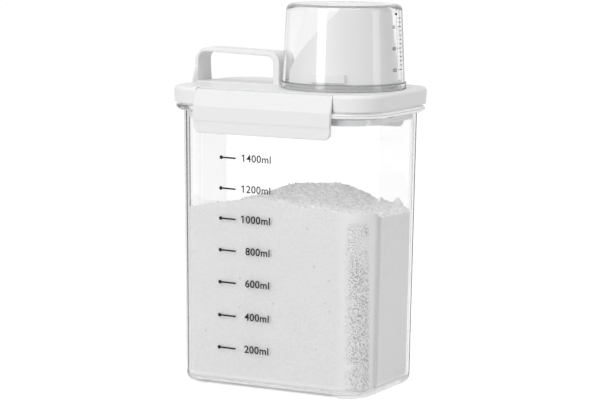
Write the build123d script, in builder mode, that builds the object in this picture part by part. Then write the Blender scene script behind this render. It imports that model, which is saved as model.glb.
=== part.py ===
# Clear flip-latch box for washing powder, with a moulded lid, a pour spout and a measuring cup.
# Lengths are in millimetres, angles in degrees. The origin is the middle of the footprint on
# the surface that the box stands on: X runs along the long side towards the spout,
# Y towards the back and Z up.
from build123d import *
from math import acos, atan2, cos, hypot, radians, sin, sqrt, tan
import os

# Cuts run past the face that they open by this much.
overrun = 5.0

# Container: one clear injection moulding that widens upwards.
base_length = 131.0
base_width = 85.0
corner_radius = 20.0
container_height = 176.1
draft_angle = 0.75
container_wall = 2.0
floor_thickness = 3.2
outer_base_radius = 5.5
inner_base_radius = 3.5
foot_width = 5.0
foot_rise = 0.6
rim_overhang = 4.8
rim_thickness = 3.2
rim_chamfer = 1.4
rim_edge_radius = 0.8

# Lid: one opaque moulding with a plug that enters the mouth and an arched handle.
lid_gap = 1.5
lid_height = 10.2
lid_end_inset = 0.7
lid_side_inset = 1.3
lid_radius = 21.0
lid_flare_angle = 3.0
lid_edge_radius = 2.4
lid_thickness = 2.4
skirt_thickness = 2.2
plug_depth = 7.6
plug_wall = 2.4
plug_gap = 0.7
groove_depth = 6.4

# Handle: a strap bent into an arch, whose end leg widens outwards to its foot.
handle_width = 17.0
strap_thickness = 2.9
leg_thickness = 2.7
right_leg_thickness = 4.7
handle_height = 22.3
handle_drop = 1.5
handle_inset = 0.1
handle_left_radius = 9.4
handle_right_radius = 7.5
opening_left_radius = 5.2
opening_right_radius = 5.0
strap_edge_radius = 0.8
foot_height = 10.6
foot_waist_height = 5.6
foot_waist_spread = 4.2
foot_spread = 6.5
foot_lean = 0.4
pad_height = 0.6
pad_margin = 0.8

# Latches: one at the front and one at the back, each hung from the lid on two stub pins.
latch_length = 94.6
latch_thickness = 2.1
latch_drop = 27.5
latch_corner_radius = 4.5
latch_edge_radius = 0.6
latch_rim_gap = 0.5
latch_end_gap = 0.35
barrel_radius = 3.2
barrel_proud = 0.8
barrel_gap = 0.3
barrel_below_top = 3.8
stub_radius = 1.4
stub_length = 2.2
stub_clearance = 0.06
stub_end_gap = 0.3
boss_margin = 3.2
notch_back = 1.5
step_height = 0.35
upper_step_drop = 11.0
lower_step_drop = 19.8
tooth_length = 80.0
tooth_reach = 1.2
tooth_tip = 0.9
tooth_gap = 0.2

# Lid gasket: a sleeve on the plug with a flange on the rim and two sealing fins.
gasket_thickness = 0.9
gasket_fit = 0.05
gasket_seat = 0.1
gasket_flange = 2.6
fin_thickness = 0.7
fin_gap = 0.3
fin_spacing = 2.2
gasket_skirt = 1.2

# Pour spout: a tapered tube, cut at an angle and snapped into the lid.
spout_x = 30.0
spout_base_radius = 34.3
spout_top_radius = 29.4
spout_wall = 1.7
neck_radius = 31.6
neck_wall = 1.6
spout_height = 49.2
spout_flange_radius = 36.2
spout_flange_thickness = 1.7
spout_hole_clearance = 0.2
spout_seat = 0.1
snap_depth = 2.2
snap_proud = 0.8
snap_gap = 0.2
cut_angle = 45.6
cut_start_height = 3.8
cut_tip_radius = 7.0
lug_width = 21.5
lug_height = 4.8
lug_rise = 5.8
lug_radius = 35.9
lug_turn = 10.0

# Seal ring round the foot of the spout.
neck_seal_thickness = 1.9
neck_seal_fit = 0.15
neck_seal_inset = 0.1

# Measuring cup: stands mouth down over the spout.
cup_seat = 0.2
cup_height = 52.2
cup_mouth_radius = 38.0
cup_top_radius = 35.7
cup_wall = 1.5
cup_flange_radius = 39.0
cup_flange_height = 4.2
cup_flange_edge = 0.6
cup_groove_depth = 0.6
cup_groove_width = 0.6
cup_groove_drop = 1.3
cup_edge_radius = 4.0
cup_handle_gap = 1.7

# Washing powder: fills the container to a heap. Each row of shares gives the heap's height, in
# parts of the peak, at even steps from the end under the handle to the end under the spout.
powder_gap = 0.2
powder_peak = 127.0
heap_row_shares = (
    (0.873, 0.887, 0.901, 0.914, 0.931, 0.951, 0.954, 0.941, 0.927, 0.923, 0.917, 0.906, 0.892),
    (0.854, 0.867, 0.883, 0.904, 0.931, 0.957, 0.967, 0.962, 0.957, 0.945, 0.926, 0.905, 0.880),
    (0.834, 0.844, 0.859, 0.881, 0.913, 0.967, 0.990, 0.995, 1.000, 0.989, 0.956, 0.910, 0.866),
    (0.821, 0.827, 0.836, 0.857, 0.888, 0.922, 0.947, 0.958, 0.961, 0.953, 0.930, 0.897, 0.863),
    (0.814, 0.820, 0.827, 0.839, 0.857, 0.875, 0.890, 0.899, 0.901, 0.895, 0.879, 0.857, 0.835))
# Two little cones of poured powder lie near the end under the spout.
left_cone_x = 47.5
left_cone_tip = 120.6
right_cone_x = 58.5
right_cone_tip = 116.6
cone_y = 17.0
cone_height = 11.0
cone_base_radius = 15.0
cone_tip_radius = 1.6


def widening(height):
    """How far one wall has moved out at a height above the base."""
    return height * tan(radians(draft_angle))


def ring_profile(length, width, radius, inset):
    """A rounded frame, inset wide, inside the given outline."""
    RectangleRounded(length, width, radius)
    RectangleRounded(length - 2 * inset, width - 2 * inset, radius - inset, mode=Mode.SUBTRACT)


# Places that several pieces share.
rim_bottom = container_height - rim_thickness
mouth_length = base_length + 2 * widening(container_height)
mouth_width = base_width + 2 * widening(container_height)
mouth_radius = corner_radius + widening(container_height)
rim_length = mouth_length + 2 * rim_overhang
rim_width = mouth_width + 2 * rim_overhang
rim_radius = mouth_radius + rim_overhang
lid_length = rim_length - 2 * lid_end_inset
lid_width = rim_width - 2 * lid_side_inset
lid_bottom = container_height + lid_gap
lid_top = lid_bottom + lid_height
lid_flare = lid_height * tan(radians(lid_flare_angle))
lid_top_length = lid_length + 2 * lid_flare
lid_top_width = lid_width + 2 * lid_flare
plug_bottom = container_height - plug_depth
plug_inset = container_wall + plug_gap + widening(plug_depth)
plug_length = mouth_length - 2 * plug_inset
plug_width = mouth_width - 2 * plug_inset
plug_radius = mouth_radius - plug_inset
hinge_y = lid_top_width / 2 + barrel_proud - barrel_radius
hinge_z = lid_top - barrel_below_top
hole_radius = neck_radius + spout_hole_clearance
cup_bottom = lid_top + cup_seat


# Container
with BuildPart() as container:
    with BuildSketch(Plane.XY):
        RectangleRounded(base_length, base_width, corner_radius)
    extrude(amount=container_height, taper=-draft_angle)
    fillet(container.edges().group_by(Axis.Z)[0], outer_base_radius)
    # The rim is a flange round the mouth, chamfered below for the teeth of the latches.
    with BuildSketch(Plane.XY.offset(rim_bottom)):
        ring_profile(rim_length, rim_width, rim_radius, rim_overhang + container_wall / 2)
    extrude(amount=rim_thickness)
    level_faces = container.faces().filter_by(Axis.Z).sort_by(Axis.Z)
    chamfer(level_faces[1].outer_wire().edges(), rim_chamfer)
    level_faces = container.faces().filter_by(Axis.Z).sort_by(Axis.Z)
    fillet(level_faces[-1].outer_wire().edges(), rim_edge_radius)
    # The cavity keeps an even wall as the box widens.
    with BuildSketch(Plane.XY.offset(floor_thickness)):
        cavity_inset = container_wall - widening(floor_thickness)
        RectangleRounded(base_length - 2 * cavity_inset, base_width - 2 * cavity_inset,
                         corner_radius - cavity_inset)
    extrude(amount=container_height, taper=-draft_angle, mode=Mode.SUBTRACT)
    floor_face = container.faces().filter_by(Axis.Z).sort_by(Axis.Z)[1]
    fillet(floor_face.edges(), inner_base_radius)
    # A shallow hollow under the base leaves a foot all round.
    with BuildSketch(Plane.XY):
        hollow_inset = outer_base_radius + foot_width
        RectangleRounded(base_length - 2 * hollow_inset, base_width - 2 * hollow_inset,
                         corner_radius - hollow_inset)
    extrude(amount=foot_rise, mode=Mode.SUBTRACT)
container.part.label = "container"


# Washing powder: the heap is lofted through its rows from the front wall to the back wall.
heap_half_length = mouth_length / 2
heap_half_width = mouth_width / 2
with BuildPart() as powder_heap:
    for row, shares in enumerate(heap_row_shares):
        row_y = heap_half_width * (2 * row / (len(heap_row_shares) - 1) - 1)
        points = [(heap_half_length * (2 * step / (len(shares) - 1) - 1), share * powder_peak)
                  for step, share in enumerate(shares)]
        with BuildSketch(Plane.XZ.offset(-row_y)):
            with BuildLine():
                Spline(*points)
                Polyline(points[-1], (heap_half_length, 0), (-heap_half_length, 0), points[0])
            make_face()
    loft()
    for cone_x, cone_tip in ((left_cone_x, left_cone_tip), (right_cone_x, right_cone_tip)):
        with Locations((cone_x, cone_y, cone_tip - cone_height / 2)):
            Cone(cone_base_radius, cone_tip_radius, cone_height)

with BuildPart() as detergent_powder:
    with BuildSketch(Plane.XY.offset(floor_thickness)):
        powder_inset = container_wall + powder_gap - widening(floor_thickness)
        RectangleRounded(base_length - 2 * powder_inset, base_width - 2 * powder_inset,
                         corner_radius - powder_inset)
    extrude(amount=powder_peak, taper=-draft_angle)
    fillet(detergent_powder.edges().group_by(Axis.Z)[0], inner_base_radius)
    add(powder_heap.part, mode=Mode.INTERSECT)
detergent_powder.part.label = "detergent_powder"


# Handle: the arch seen from the front, with rounded edges.
handle_top = lid_top + handle_height
handle_root = lid_top - lid_thickness / 2
foot_x = -(lid_top_length / 2 - handle_inset)
left_x = foot_x + foot_lean
right_x = spout_x - cup_flange_radius - cup_handle_gap
opening_left = left_x + leg_thickness
opening_right = right_x - right_leg_thickness
opening_top = handle_top - strap_thickness
strap_half = handle_width / 2
foot_top = lid_top + foot_height


def foot_section(outer_x, spread):
    """The end leg in plan: its outer face is wider than its inner one by the spread on each side."""
    Polygon(
        (outer_x, -strap_half - spread), (opening_left, -strap_half),
        (opening_left, strap_half), (outer_x, strap_half + spread), align=None)


with BuildPart() as handle:
    with BuildSketch(Plane.XZ):
        with BuildLine():
            FilletPolyline(
                (left_x, foot_top), (left_x, handle_top), (right_x, handle_top - handle_drop),
                (right_x, handle_root), radius=[handle_left_radius, handle_right_radius])
            Line((right_x, handle_root), (opening_right, handle_root))
            FilletPolyline(
                (opening_right, handle_root), (opening_right, opening_top - handle_drop),
                (opening_left, opening_top), (opening_left, foot_top),
                radius=[opening_right_radius, opening_left_radius])
            Line((opening_left, foot_top), (left_x, foot_top))
        make_face()
    extrude(amount=strap_half, both=True)
    side_edges = handle.faces().filter_by(Axis.Y).edges()
    fillet(side_edges.filter_by(Axis.X, reverse=True), strap_edge_radius)
    # A low pad joins the two feet.
    with BuildSketch(Plane.XY.offset(handle_root)):
        with Locations(((opening_left + opening_right) / 2, 0)):
            Rectangle(opening_right - opening_left + right_leg_thickness, handle_width + 2 * pad_margin)
    extrude(amount=lid_thickness / 2 + pad_height)

# The end leg's lower half widens outwards to a foot, flush with the end of the lid.
with BuildPart() as foot:
    for height, outer_x, spread in (
            (foot_top, left_x, 0), (lid_top + foot_waist_height, left_x, foot_waist_spread),
            (handle_root, foot_x, foot_spread)):
        with BuildSketch(Plane.XY.offset(height)) as section:
            foot_section(outer_x, spread)
            fillet(section.vertices(), strap_edge_radius)
    loft()


# Lid
with BuildPart() as lid:
    with BuildSketch(Plane.XY.offset(lid_bottom)):
        RectangleRounded(lid_length, lid_width, lid_radius)
    extrude(amount=lid_height, taper=-lid_flare_angle)
    fillet(lid.edges().group_by(Axis.Z)[-1], lid_edge_radius)
    add(handle.part)
    add(foot.part)
    # The plug, hollow up to the underside of the lid's plate.
    with BuildSketch(Plane.XY.offset(plug_bottom)):
        RectangleRounded(plug_length, plug_width, plug_radius)
    extrude(amount=lid_bottom - plug_bottom)
    with BuildSketch(Plane.XY.offset(plug_bottom)):
        RectangleRounded(plug_length - 2 * plug_wall, plug_width - 2 * plug_wall, plug_radius - plug_wall)
    extrude(amount=lid_top - lid_thickness - plug_bottom, mode=Mode.SUBTRACT)
    # A bed round the plug for the gasket.
    with BuildSketch(Plane.XY.offset(plug_bottom + gasket_skirt)):
        ring_profile(plug_length, plug_width, plug_radius, gasket_thickness)
    extrude(amount=lid_bottom - plug_bottom - gasket_skirt, mode=Mode.SUBTRACT)
    # The ends are hollow between skirt and plug. The long sides stay thick for the hinges.
    hinge_zone = latch_length / 2 + latch_end_gap + stub_length + boss_margin
    with BuildSketch(Plane.XY.offset(lid_bottom)):
        RectangleRounded(lid_length - 2 * skirt_thickness, lid_width - 2 * skirt_thickness,
                         lid_radius - skirt_thickness)
        RectangleRounded(plug_length, plug_width, plug_radius, mode=Mode.SUBTRACT)
        Rectangle(2 * hinge_zone, lid_top_width, mode=Mode.SUBTRACT)
    extrude(amount=groove_depth, mode=Mode.SUBTRACT)
    # A recess in each long side takes a latch, with a round bed for its barrel.
    with BuildSketch(Plane.YZ):
        with Locations((-hinge_y, hinge_z)):
            Circle(barrel_radius + barrel_gap)
        with BuildLine():
            Polyline(
                (-hinge_y, lid_bottom - overrun), (-hinge_y, hinge_z),
                (-hinge_y + notch_back, hinge_z), (-hinge_y + notch_back, lid_top + overrun),
                (-lid_top_width / 2 - overrun, lid_top + overrun),
                (-lid_top_width / 2 - overrun, lid_bottom - overrun), close=True)
        make_face()
        mirror(about=Plane.YZ)
    extrude(amount=latch_length / 2 + latch_end_gap, both=True, mode=Mode.SUBTRACT)
    # Blind holes in the ends of the recesses take the stub pins.
    with BuildSketch(Plane.YZ):
        with Locations((-hinge_y, hinge_z), (hinge_y, hinge_z)):
            Circle(stub_radius + stub_clearance)
    extrude(amount=latch_length / 2 + latch_end_gap + stub_length, both=True, mode=Mode.SUBTRACT)
    # The round hole that the spout snaps into.
    with BuildSketch(Plane.XY.offset(lid_top + overrun)):
        with Locations((spout_x, 0)):
            Circle(hole_radius)
    extrude(amount=-(lid_thickness + 2 * overrun), mode=Mode.SUBTRACT)
lid.part.label = "lid"


# Latches: a barrel in the lid's bed, a plate over the rim's edge and a tooth under it.
latch_inner_y = rim_width / 2 + latch_rim_gap
latch_outer_y = latch_inner_y + latch_thickness
latch_bottom = lid_top - latch_drop
upper_step = lid_top - upper_step_drop
lower_step = lid_top - lower_step_drop
# The plate leaves the barrel along a tangent.
plate_run = latch_outer_y - hinge_y
plate_fall = hinge_z - upper_step
tangent_angle = acos(barrel_radius / hypot(plate_run, plate_fall)) - atan2(plate_fall, plate_run)
barrel_tangent = (-hinge_y - barrel_radius * cos(tangent_angle), hinge_z + barrel_radius * sin(tangent_angle))
with BuildPart() as front_latch:
    with BuildSketch(Plane.YZ):
        with Locations((-hinge_y, hinge_z)):
            Circle(barrel_radius)
        with BuildLine():
            Polyline(
                barrel_tangent,
                (-latch_outer_y, upper_step), (-latch_outer_y - step_height, upper_step),
                (-latch_outer_y - step_height, lower_step), (-latch_outer_y, lower_step),
                (-latch_outer_y, latch_bottom), (-latch_inner_y, latch_bottom),
                (-latch_inner_y, container_height), (-hinge_y - barrel_radius + latch_thickness, hinge_z),
                close=True)
        make_face()
    extrude(amount=latch_length / 2, both=True)
    fillet(front_latch.edges().filter_by(Axis.Y).group_by(Axis.Z)[0], latch_corner_radius)
    lower_face = front_latch.faces().filter_by(Axis.Y).group_by(Axis.Y)[1]
    fillet(lower_face.edges().filter_by(lambda edge: edge.center().Z < lower_step - latch_edge_radius),
           latch_edge_radius)
    # The tooth's upper face runs along the chamfer under the rim.
    tooth_top = rim_bottom + rim_chamfer - tooth_gap * sqrt(2)
    tooth_root = -latch_inner_y - latch_thickness / 2
    tooth_tip_z = tooth_top - tooth_reach
    with BuildSketch(Plane.YZ):
        with BuildLine():
            Polyline(
                (tooth_root, tooth_top - rim_width / 2 - tooth_root),
                (-rim_width / 2 + tooth_reach, tooth_tip_z),
                (-rim_width / 2 + tooth_reach, tooth_tip_z - tooth_tip),
                (tooth_root, tooth_tip_z - tooth_tip - tooth_reach - latch_rim_gap), close=True)
        make_face()
    extrude(amount=tooth_length / 2, both=True)
    with BuildSketch(Plane.YZ):
        with Locations((-hinge_y, hinge_z)):
            Circle(stub_radius)
    extrude(amount=latch_length / 2 + latch_end_gap + stub_length - stub_end_gap, both=True)
front_latch.part.label = "front_latch"

with BuildPart() as back_latch:
    add(mirror(front_latch.part, about=Plane.XZ))
back_latch.part.label = "back_latch"


# Lid gasket
with BuildPart() as lid_gasket:
    sleeve_bottom = plug_bottom + gasket_skirt + gasket_fit
    sleeve_inset = gasket_thickness - gasket_fit
    with BuildSketch(Plane.XY.offset(sleeve_bottom)):
        ring_profile(plug_length, plug_width, plug_radius, sleeve_inset)
    extrude(amount=lid_bottom - gasket_fit - sleeve_bottom)
    flange_bottom = container_height + gasket_seat
    with BuildSketch(Plane.XY.offset(flange_bottom)):
        flange_out = plug_inset + gasket_flange
        ring_profile(plug_length + 2 * flange_out, plug_width + 2 * flange_out, plug_radius + flange_out,
                     flange_out + sleeve_inset)
    extrude(amount=lid_bottom - gasket_fit - flange_bottom)
    for fin_bottom in (sleeve_bottom, sleeve_bottom + fin_spacing):
        fin_out = widening(fin_bottom) - container_wall - fin_gap
        fin_inset = (base_length - plug_length) / 2 + fin_out + sleeve_inset
        with BuildSketch(Plane.XY.offset(fin_bottom)):
            ring_profile(base_length + 2 * fin_out, base_width + 2 * fin_out, corner_radius + fin_out,
                         fin_inset)
        extrude(amount=fin_thickness)
lid_gasket.part.label = "lid_gasket"


# Pour spout
spout_axis = Axis((spout_x, 0, 0), (0, 0, 1))
spout_top = lid_top + spout_height
spout_slope = (spout_base_radius - spout_top_radius) / spout_height


def spout_radius(height):
    """Outer radius of the spout at a height above the base."""
    return spout_base_radius - (height - lid_top) * spout_slope


with BuildPart() as pour_spout:
    snap_bottom = lid_top - lid_thickness - snap_depth
    snap_top = lid_top - lid_thickness - snap_gap
    collar_bottom = lid_top + spout_seat
    collar_top = collar_bottom + spout_flange_thickness
    blank_top = spout_top + overrun
    with BuildSketch(Plane.XZ):
        with BuildLine():
            Polyline(
                (spout_x + neck_radius - neck_wall, snap_bottom),
                (spout_x + neck_radius, snap_bottom),
                (spout_x + neck_radius + snap_proud, (snap_bottom + snap_top) / 2),
                (spout_x + neck_radius + snap_proud, snap_top),
                (spout_x + neck_radius, snap_top),
                (spout_x + neck_radius, collar_bottom),
                (spout_x + spout_flange_radius, collar_bottom),
                (spout_x + spout_flange_radius, collar_top),
                (spout_x + spout_radius(collar_top), collar_top),
                (spout_x + spout_radius(blank_top), blank_top),
                (spout_x + spout_radius(blank_top) - spout_wall, blank_top),
                (spout_x + spout_radius(collar_top) - spout_wall, collar_top),
                (spout_x + neck_radius - neck_wall, collar_bottom), close=True)
        make_face()
    revolve(axis=spout_axis)
    # Two lugs grip the inside of the cup.
    with BuildSketch(Plane.XY.offset(lid_top + lug_rise)):
        with Locations((spout_x, 0)):
            Circle(lug_radius)
            Circle(spout_radius(lid_top + lug_rise + lug_height) - spout_wall / 2, mode=Mode.SUBTRACT)
            Rectangle(lug_width, 2 * lug_radius, rotation=lug_turn, mode=Mode.INTERSECT)
    extrude(amount=lug_height)
    # The cut falls towards the handle and leaves a tall lip on the far side.
    cut_foot = lid_top + cut_start_height
    cut_left = spout_x - spout_base_radius
    cut_rise = tan(radians(cut_angle))
    with BuildSketch(Plane.XZ):
        with BuildLine():
            FilletPolyline(
                (cut_left - overrun, cut_foot - overrun * cut_rise),
                (cut_left + (spout_top - cut_foot) / cut_rise, spout_top),
                (spout_x + spout_base_radius + overrun, spout_top),
                radius=[cut_tip_radius])
            Polyline(
                (spout_x + spout_base_radius + overrun, spout_top),
                (spout_x + spout_base_radius + overrun, blank_top + overrun),
                (cut_left - overrun, blank_top + overrun),
                (cut_left - overrun, cut_foot - overrun * cut_rise))
        make_face()
    extrude(amount=spout_base_radius + overrun, both=True, mode=Mode.SUBTRACT)
pour_spout.part.label = "pour_spout"


# Seal ring round the foot of the spout
with BuildPart() as neck_seal:
    with BuildSketch(Plane.XY.offset(collar_top)):
        with Locations((spout_x, 0)):
            Circle(spout_flange_radius - neck_seal_inset)
            Circle(spout_radius(collar_top) + neck_seal_fit, mode=Mode.SUBTRACT)
    extrude(amount=neck_seal_thickness)
neck_seal.part.label = "neck_seal"


# Measuring cup
with BuildPart() as measuring_cup:
    cup_top = cup_bottom + cup_height
    cup_flange_top = cup_bottom + cup_flange_height
    groove_top = cup_flange_top - cup_groove_drop
    groove_bottom = groove_top - cup_groove_width
    with BuildSketch(Plane.XZ) as cup_section:
        with BuildLine():
            Polyline(
                (spout_x + cup_mouth_radius - cup_wall, cup_bottom),
                (spout_x + cup_flange_radius, cup_bottom),
                (spout_x + cup_flange_radius, groove_bottom),
                (spout_x + cup_flange_radius - cup_groove_depth, groove_bottom),
                (spout_x + cup_flange_radius - cup_groove_depth, groove_top),
                (spout_x + cup_flange_radius, groove_top),
                (spout_x + cup_flange_radius, cup_flange_top),
                (spout_x + cup_mouth_radius, cup_flange_top),
                (spout_x + cup_top_radius, cup_top), (spout_x, cup_top),
                (spout_x, cup_top - cup_wall), (spout_x + cup_top_radius - cup_wall, cup_top - cup_wall),
                (spout_x + cup_mouth_radius - cup_wall, cup_flange_top), close=True)
        make_face()
        outer_corner = cup_section.vertices().group_by(Axis.Y)[-1].sort_by(Axis.X)[-1]
        inner_corner = cup_section.vertices().group_by(Axis.Y)[-2].sort_by(Axis.X)[-1]
        fillet(outer_corner, cup_edge_radius)
        fillet(inner_corner, cup_edge_radius - cup_wall)
        flange_corners = cup_section.vertices().group_by(Axis.X)[-1].sort_by(Axis.Y)
        fillet((flange_corners[0], flange_corners[-1]), cup_flange_edge)
    revolve(axis=spout_axis)
measuring_cup.part.label = "measuring_cup"


os.makedirs("parts", exist_ok=True)
pieces = (container, detergent_powder, lid, lid_gasket, pour_spout, neck_seal, measuring_cup,
          front_latch, back_latch)
for piece in pieces:
    export_step(piece.part, f"parts/{piece.part.label}.step")
    print(piece.part.label, "volume", round(piece.part.volume), "valid", piece.part.is_valid)
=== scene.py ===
# %% [markdown]
# # A clear flip-latch box for washing powder
# The box, its lid, latches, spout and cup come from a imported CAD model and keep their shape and
# place. This lesson gives them their finishes, fills the box with powder, prints the scales and
# lights it all for a product picture. Lengths are in metres, and the origin is the middle of the
# footprint on the table, with X along the long side towards the spout and Z up.

# %% Load the CAD model
import bpy
import bmesh
import math
import numpy as np
from mathutils import Matrix, Vector, noise


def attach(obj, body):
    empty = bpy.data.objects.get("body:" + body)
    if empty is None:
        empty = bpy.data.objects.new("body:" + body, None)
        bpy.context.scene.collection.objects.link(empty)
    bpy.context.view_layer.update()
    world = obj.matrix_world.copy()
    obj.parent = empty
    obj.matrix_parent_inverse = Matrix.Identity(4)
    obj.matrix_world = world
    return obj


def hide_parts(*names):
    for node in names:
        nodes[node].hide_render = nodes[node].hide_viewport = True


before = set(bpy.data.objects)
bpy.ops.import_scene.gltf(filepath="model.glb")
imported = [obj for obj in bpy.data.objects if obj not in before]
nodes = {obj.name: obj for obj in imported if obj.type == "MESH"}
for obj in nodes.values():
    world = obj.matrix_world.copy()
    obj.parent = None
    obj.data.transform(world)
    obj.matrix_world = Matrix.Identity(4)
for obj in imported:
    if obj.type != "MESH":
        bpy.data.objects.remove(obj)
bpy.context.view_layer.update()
MM = 0.001
print("CAD pieces:", ", ".join(sorted(nodes)))

# %% [markdown]
# ## Camera
# A product picture of a box is taken with a long lens from a little above, so that upright edges
# stay nearly parallel. The camera here goes round the box by an angle from the front, stands at
# a distance and a height, and tips down. Building its matrix from three axes keeps those few
# numbers readable, and a small roll takes up the tilt of the real tripod.

# %% Camera
CAMERA_TURN = math.radians(27.762)
CAMERA_DISTANCE = 1.54158
CAMERA_HEIGHT = 0.31743
CAMERA_TIP = math.radians(7.461)
CAMERA_AIM = math.radians(-0.012)
CAMERA_ROLL = math.radians(0.553)
LENS = 148.117
SENSOR_WIDTH = 36

stand = Vector((CAMERA_DISTANCE * math.sin(CAMERA_TURN),
                -CAMERA_DISTANCE * math.cos(CAMERA_TURN), CAMERA_HEIGHT))
heading = CAMERA_TURN + CAMERA_AIM
ahead = Vector((-math.sin(heading) * math.cos(CAMERA_TIP),
                math.cos(heading) * math.cos(CAMERA_TIP), -math.sin(CAMERA_TIP)))
sideways = Vector((math.cos(heading), math.sin(heading), 0))
over = sideways.cross(ahead)
rolled_sideways = sideways * math.cos(CAMERA_ROLL) + over * math.sin(CAMERA_ROLL)
rolled_over = over * math.cos(CAMERA_ROLL) - sideways * math.sin(CAMERA_ROLL)

camera = bpy.data.objects.new("camera", bpy.data.cameras.new("camera"))
camera.data.lens = LENS
camera.data.sensor_width = SENSOR_WIDTH
camera.data.sensor_fit = "HORIZONTAL"
camera.data.clip_end = 60
camera.matrix_world = (Matrix.Translation(stand)
                       @ Matrix((rolled_sideways, rolled_over, -ahead)).transposed().to_4x4())
bpy.context.scene.collection.objects.link(camera)
bpy.context.scene.camera = camera
bpy.context.scene.view_settings.view_transform = "Standard"
print("camera stands", round(CAMERA_DISTANCE, 2), "m away at height", CAMERA_HEIGHT)

# %% [markdown]
# ## Small helpers for shader nodes
# Every finish below is a little network of nodes. Helpers keep those networks short to read.
# The first ones start a material, add a node with its inputs filled in by name, and join the
# last shader to the material's output.

# %% Nodes and links
def start_finish(name):
    """A new material, its node tree and its Principled shader."""
    material = bpy.data.materials.new(name)
    material.use_nodes = True
    tree = material.node_tree
    return material, tree, tree.nodes["Principled BSDF"]


def plug(tree, socket, value):
    """Sets a socket, or links another one to it."""
    if isinstance(value, bpy.types.NodeSocket):
        tree.links.new(value, socket)
    else:
        socket.default_value = value


def add_node(tree, kind, settings=(), **inputs):
    """A new node with the given settings. Inputs are plain values or sockets to link from."""
    node = tree.nodes.new(kind)
    for key, value in dict(settings).items():
        setattr(node, key, value)
    for key, value in inputs.items():
        plug(tree, node.inputs[key.replace("_", " ")], value)
    return node


def show(tree, shader_output):
    """Makes a shader the one that the surface shows."""
    tree.links.new(shader_output, tree.nodes["Material Output"].inputs["Surface"])


print("helpers for nodes: start_finish, plug, add_node, show")

# %% [markdown]
# Many details sit at a known place: a line at one height, a shade at one end. The next helpers
# read where a point of the surface lies and turn that into a factor between 0 and 1. Soft
# ramps avoid hard steps, and two of them make a stripe.

# %% Places and factors
def place_of(tree):
    """Coordinates in metres, which stay with the piece when it moves."""
    return add_node(tree, "ShaderNodeTexCoord").outputs["Object"]


def part_of(tree, vector, axis):
    """One number of a vector: its X, Y or Z."""
    return add_node(tree, "ShaderNodeSeparateXYZ", Vector=vector).outputs[axis]


def calculated(tree, operation, first, second=0.0):
    """The result of a Math node."""
    node = add_node(tree, "ShaderNodeMath", {"operation": operation})
    plug(tree, node.inputs[0], first)
    plug(tree, node.inputs[1], second)
    return node.outputs[0]


def product(tree, first, *others):
    """Two or more factors multiplied."""
    for other in others:
        first = calculated(tree, "MULTIPLY", first, other)
    return first


def rest_of(tree, share):
    """What a share leaves of the whole."""
    return calculated(tree, "SUBTRACT", 1.0, share)


def ramp(tree, value, low, high, at_low=0.0, at_high=1.0, way="SMOOTHSTEP"):
    """Goes from one number to another while a value rises from low to high."""
    node = add_node(tree, "ShaderNodeMapRange", {"clamp": True, "interpolation_type": way})
    tree.links.new(value, node.inputs["Value"])
    for socket, number in (("From Min", low), ("From Max", high), ("To Min", at_low), ("To Max", at_high)):
        node.inputs[socket].default_value = number
    return node.outputs["Result"]


def fall(tree, value, low, high):
    """Goes softly from 1 to 0 while a value rises from low to high."""
    return ramp(tree, value, low, high, 1.0, 0.0)


def stripe(tree, value, start, full, fade, end):
    """1 while a value lies between full and fade, and 0 before start and after end."""
    return product(tree, ramp(tree, value, start, full), fall(tree, value, fade, end))


print("helpers for factors: ramp, fall, stripe, product, rest_of")

# %% [markdown]
# The last helpers make patterns and mixtures. Real surfaces are never quite even, so nearly
# every finish has a soft noise in its colour or gloss, and a finer one as bump.

# %% Patterns and mixtures
def grey(value):
    """A neutral colour."""
    return (value, value, value, 1)


def colour_of(channels, share=1.0):
    """A colour from its three channels, darkened to a share."""
    return tuple(channel * share for channel in channels) + (1,)


def mottle(tree, place, scale, detail=3.0, **more):
    """A soft random pattern. A higher scale makes it finer."""
    return add_node(tree, "ShaderNodeTexNoise", Vector=place, Scale=scale, Detail=detail,
                    **more).outputs["Fac"]


def blended(tree, factor, first, second):
    """A colour that goes from the first to the second as the factor rises."""
    node = add_node(tree, "ShaderNodeMix", {"data_type": "RGBA"})
    plug(tree, node.inputs["Factor"], factor)
    plug(tree, node.inputs[6], first)
    plug(tree, node.inputs[7], second)
    return node.outputs[2]


def simple(tree, kind, **inputs):
    """The output of a simple shader, such as Diffuse, Transparent or Emission."""
    return add_node(tree, "ShaderNode" + kind, **inputs).outputs[0]


def mixed(tree, factor, first, second):
    """Two shaders in one: the second one's share is the factor."""
    node = add_node(tree, "ShaderNodeMixShader")
    plug(tree, node.inputs[0], factor)
    tree.links.new(first, node.inputs[1])
    tree.links.new(second, node.inputs[2])
    return node.outputs[0]


def added(tree, first, second):
    """Two shaders whose light adds up."""
    node = add_node(tree, "ShaderNodeAddShader")
    tree.links.new(first, node.inputs[0])
    tree.links.new(second, node.inputs[1])
    return node.outputs[0]


def roughen(tree, shader, pattern, strength, distance):
    """Dents a surface finely after a pattern."""
    bump = add_node(tree, "ShaderNodeBump", Strength=strength, Distance=distance, Height=pattern)
    tree.links.new(bump.outputs["Normal"], shader.inputs["Normal"])


print("helpers for mixtures: mottle, blended, mixed, added, roughen")

# %% [markdown]
# ## Table and backdrop
# The picture has a pure white ground. A white floor alone would need so much light that the
# object's own whites would burn out. So the floor shows most of its white as its own glow to
# the camera, to reflections and to rays that come through clear plastic, and only the rest of
# it takes light and shadow. Everything else sees a plain pale floor, which bounces soft light up.

# %% Floor
FLOOR_HALF = 14.0

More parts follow.
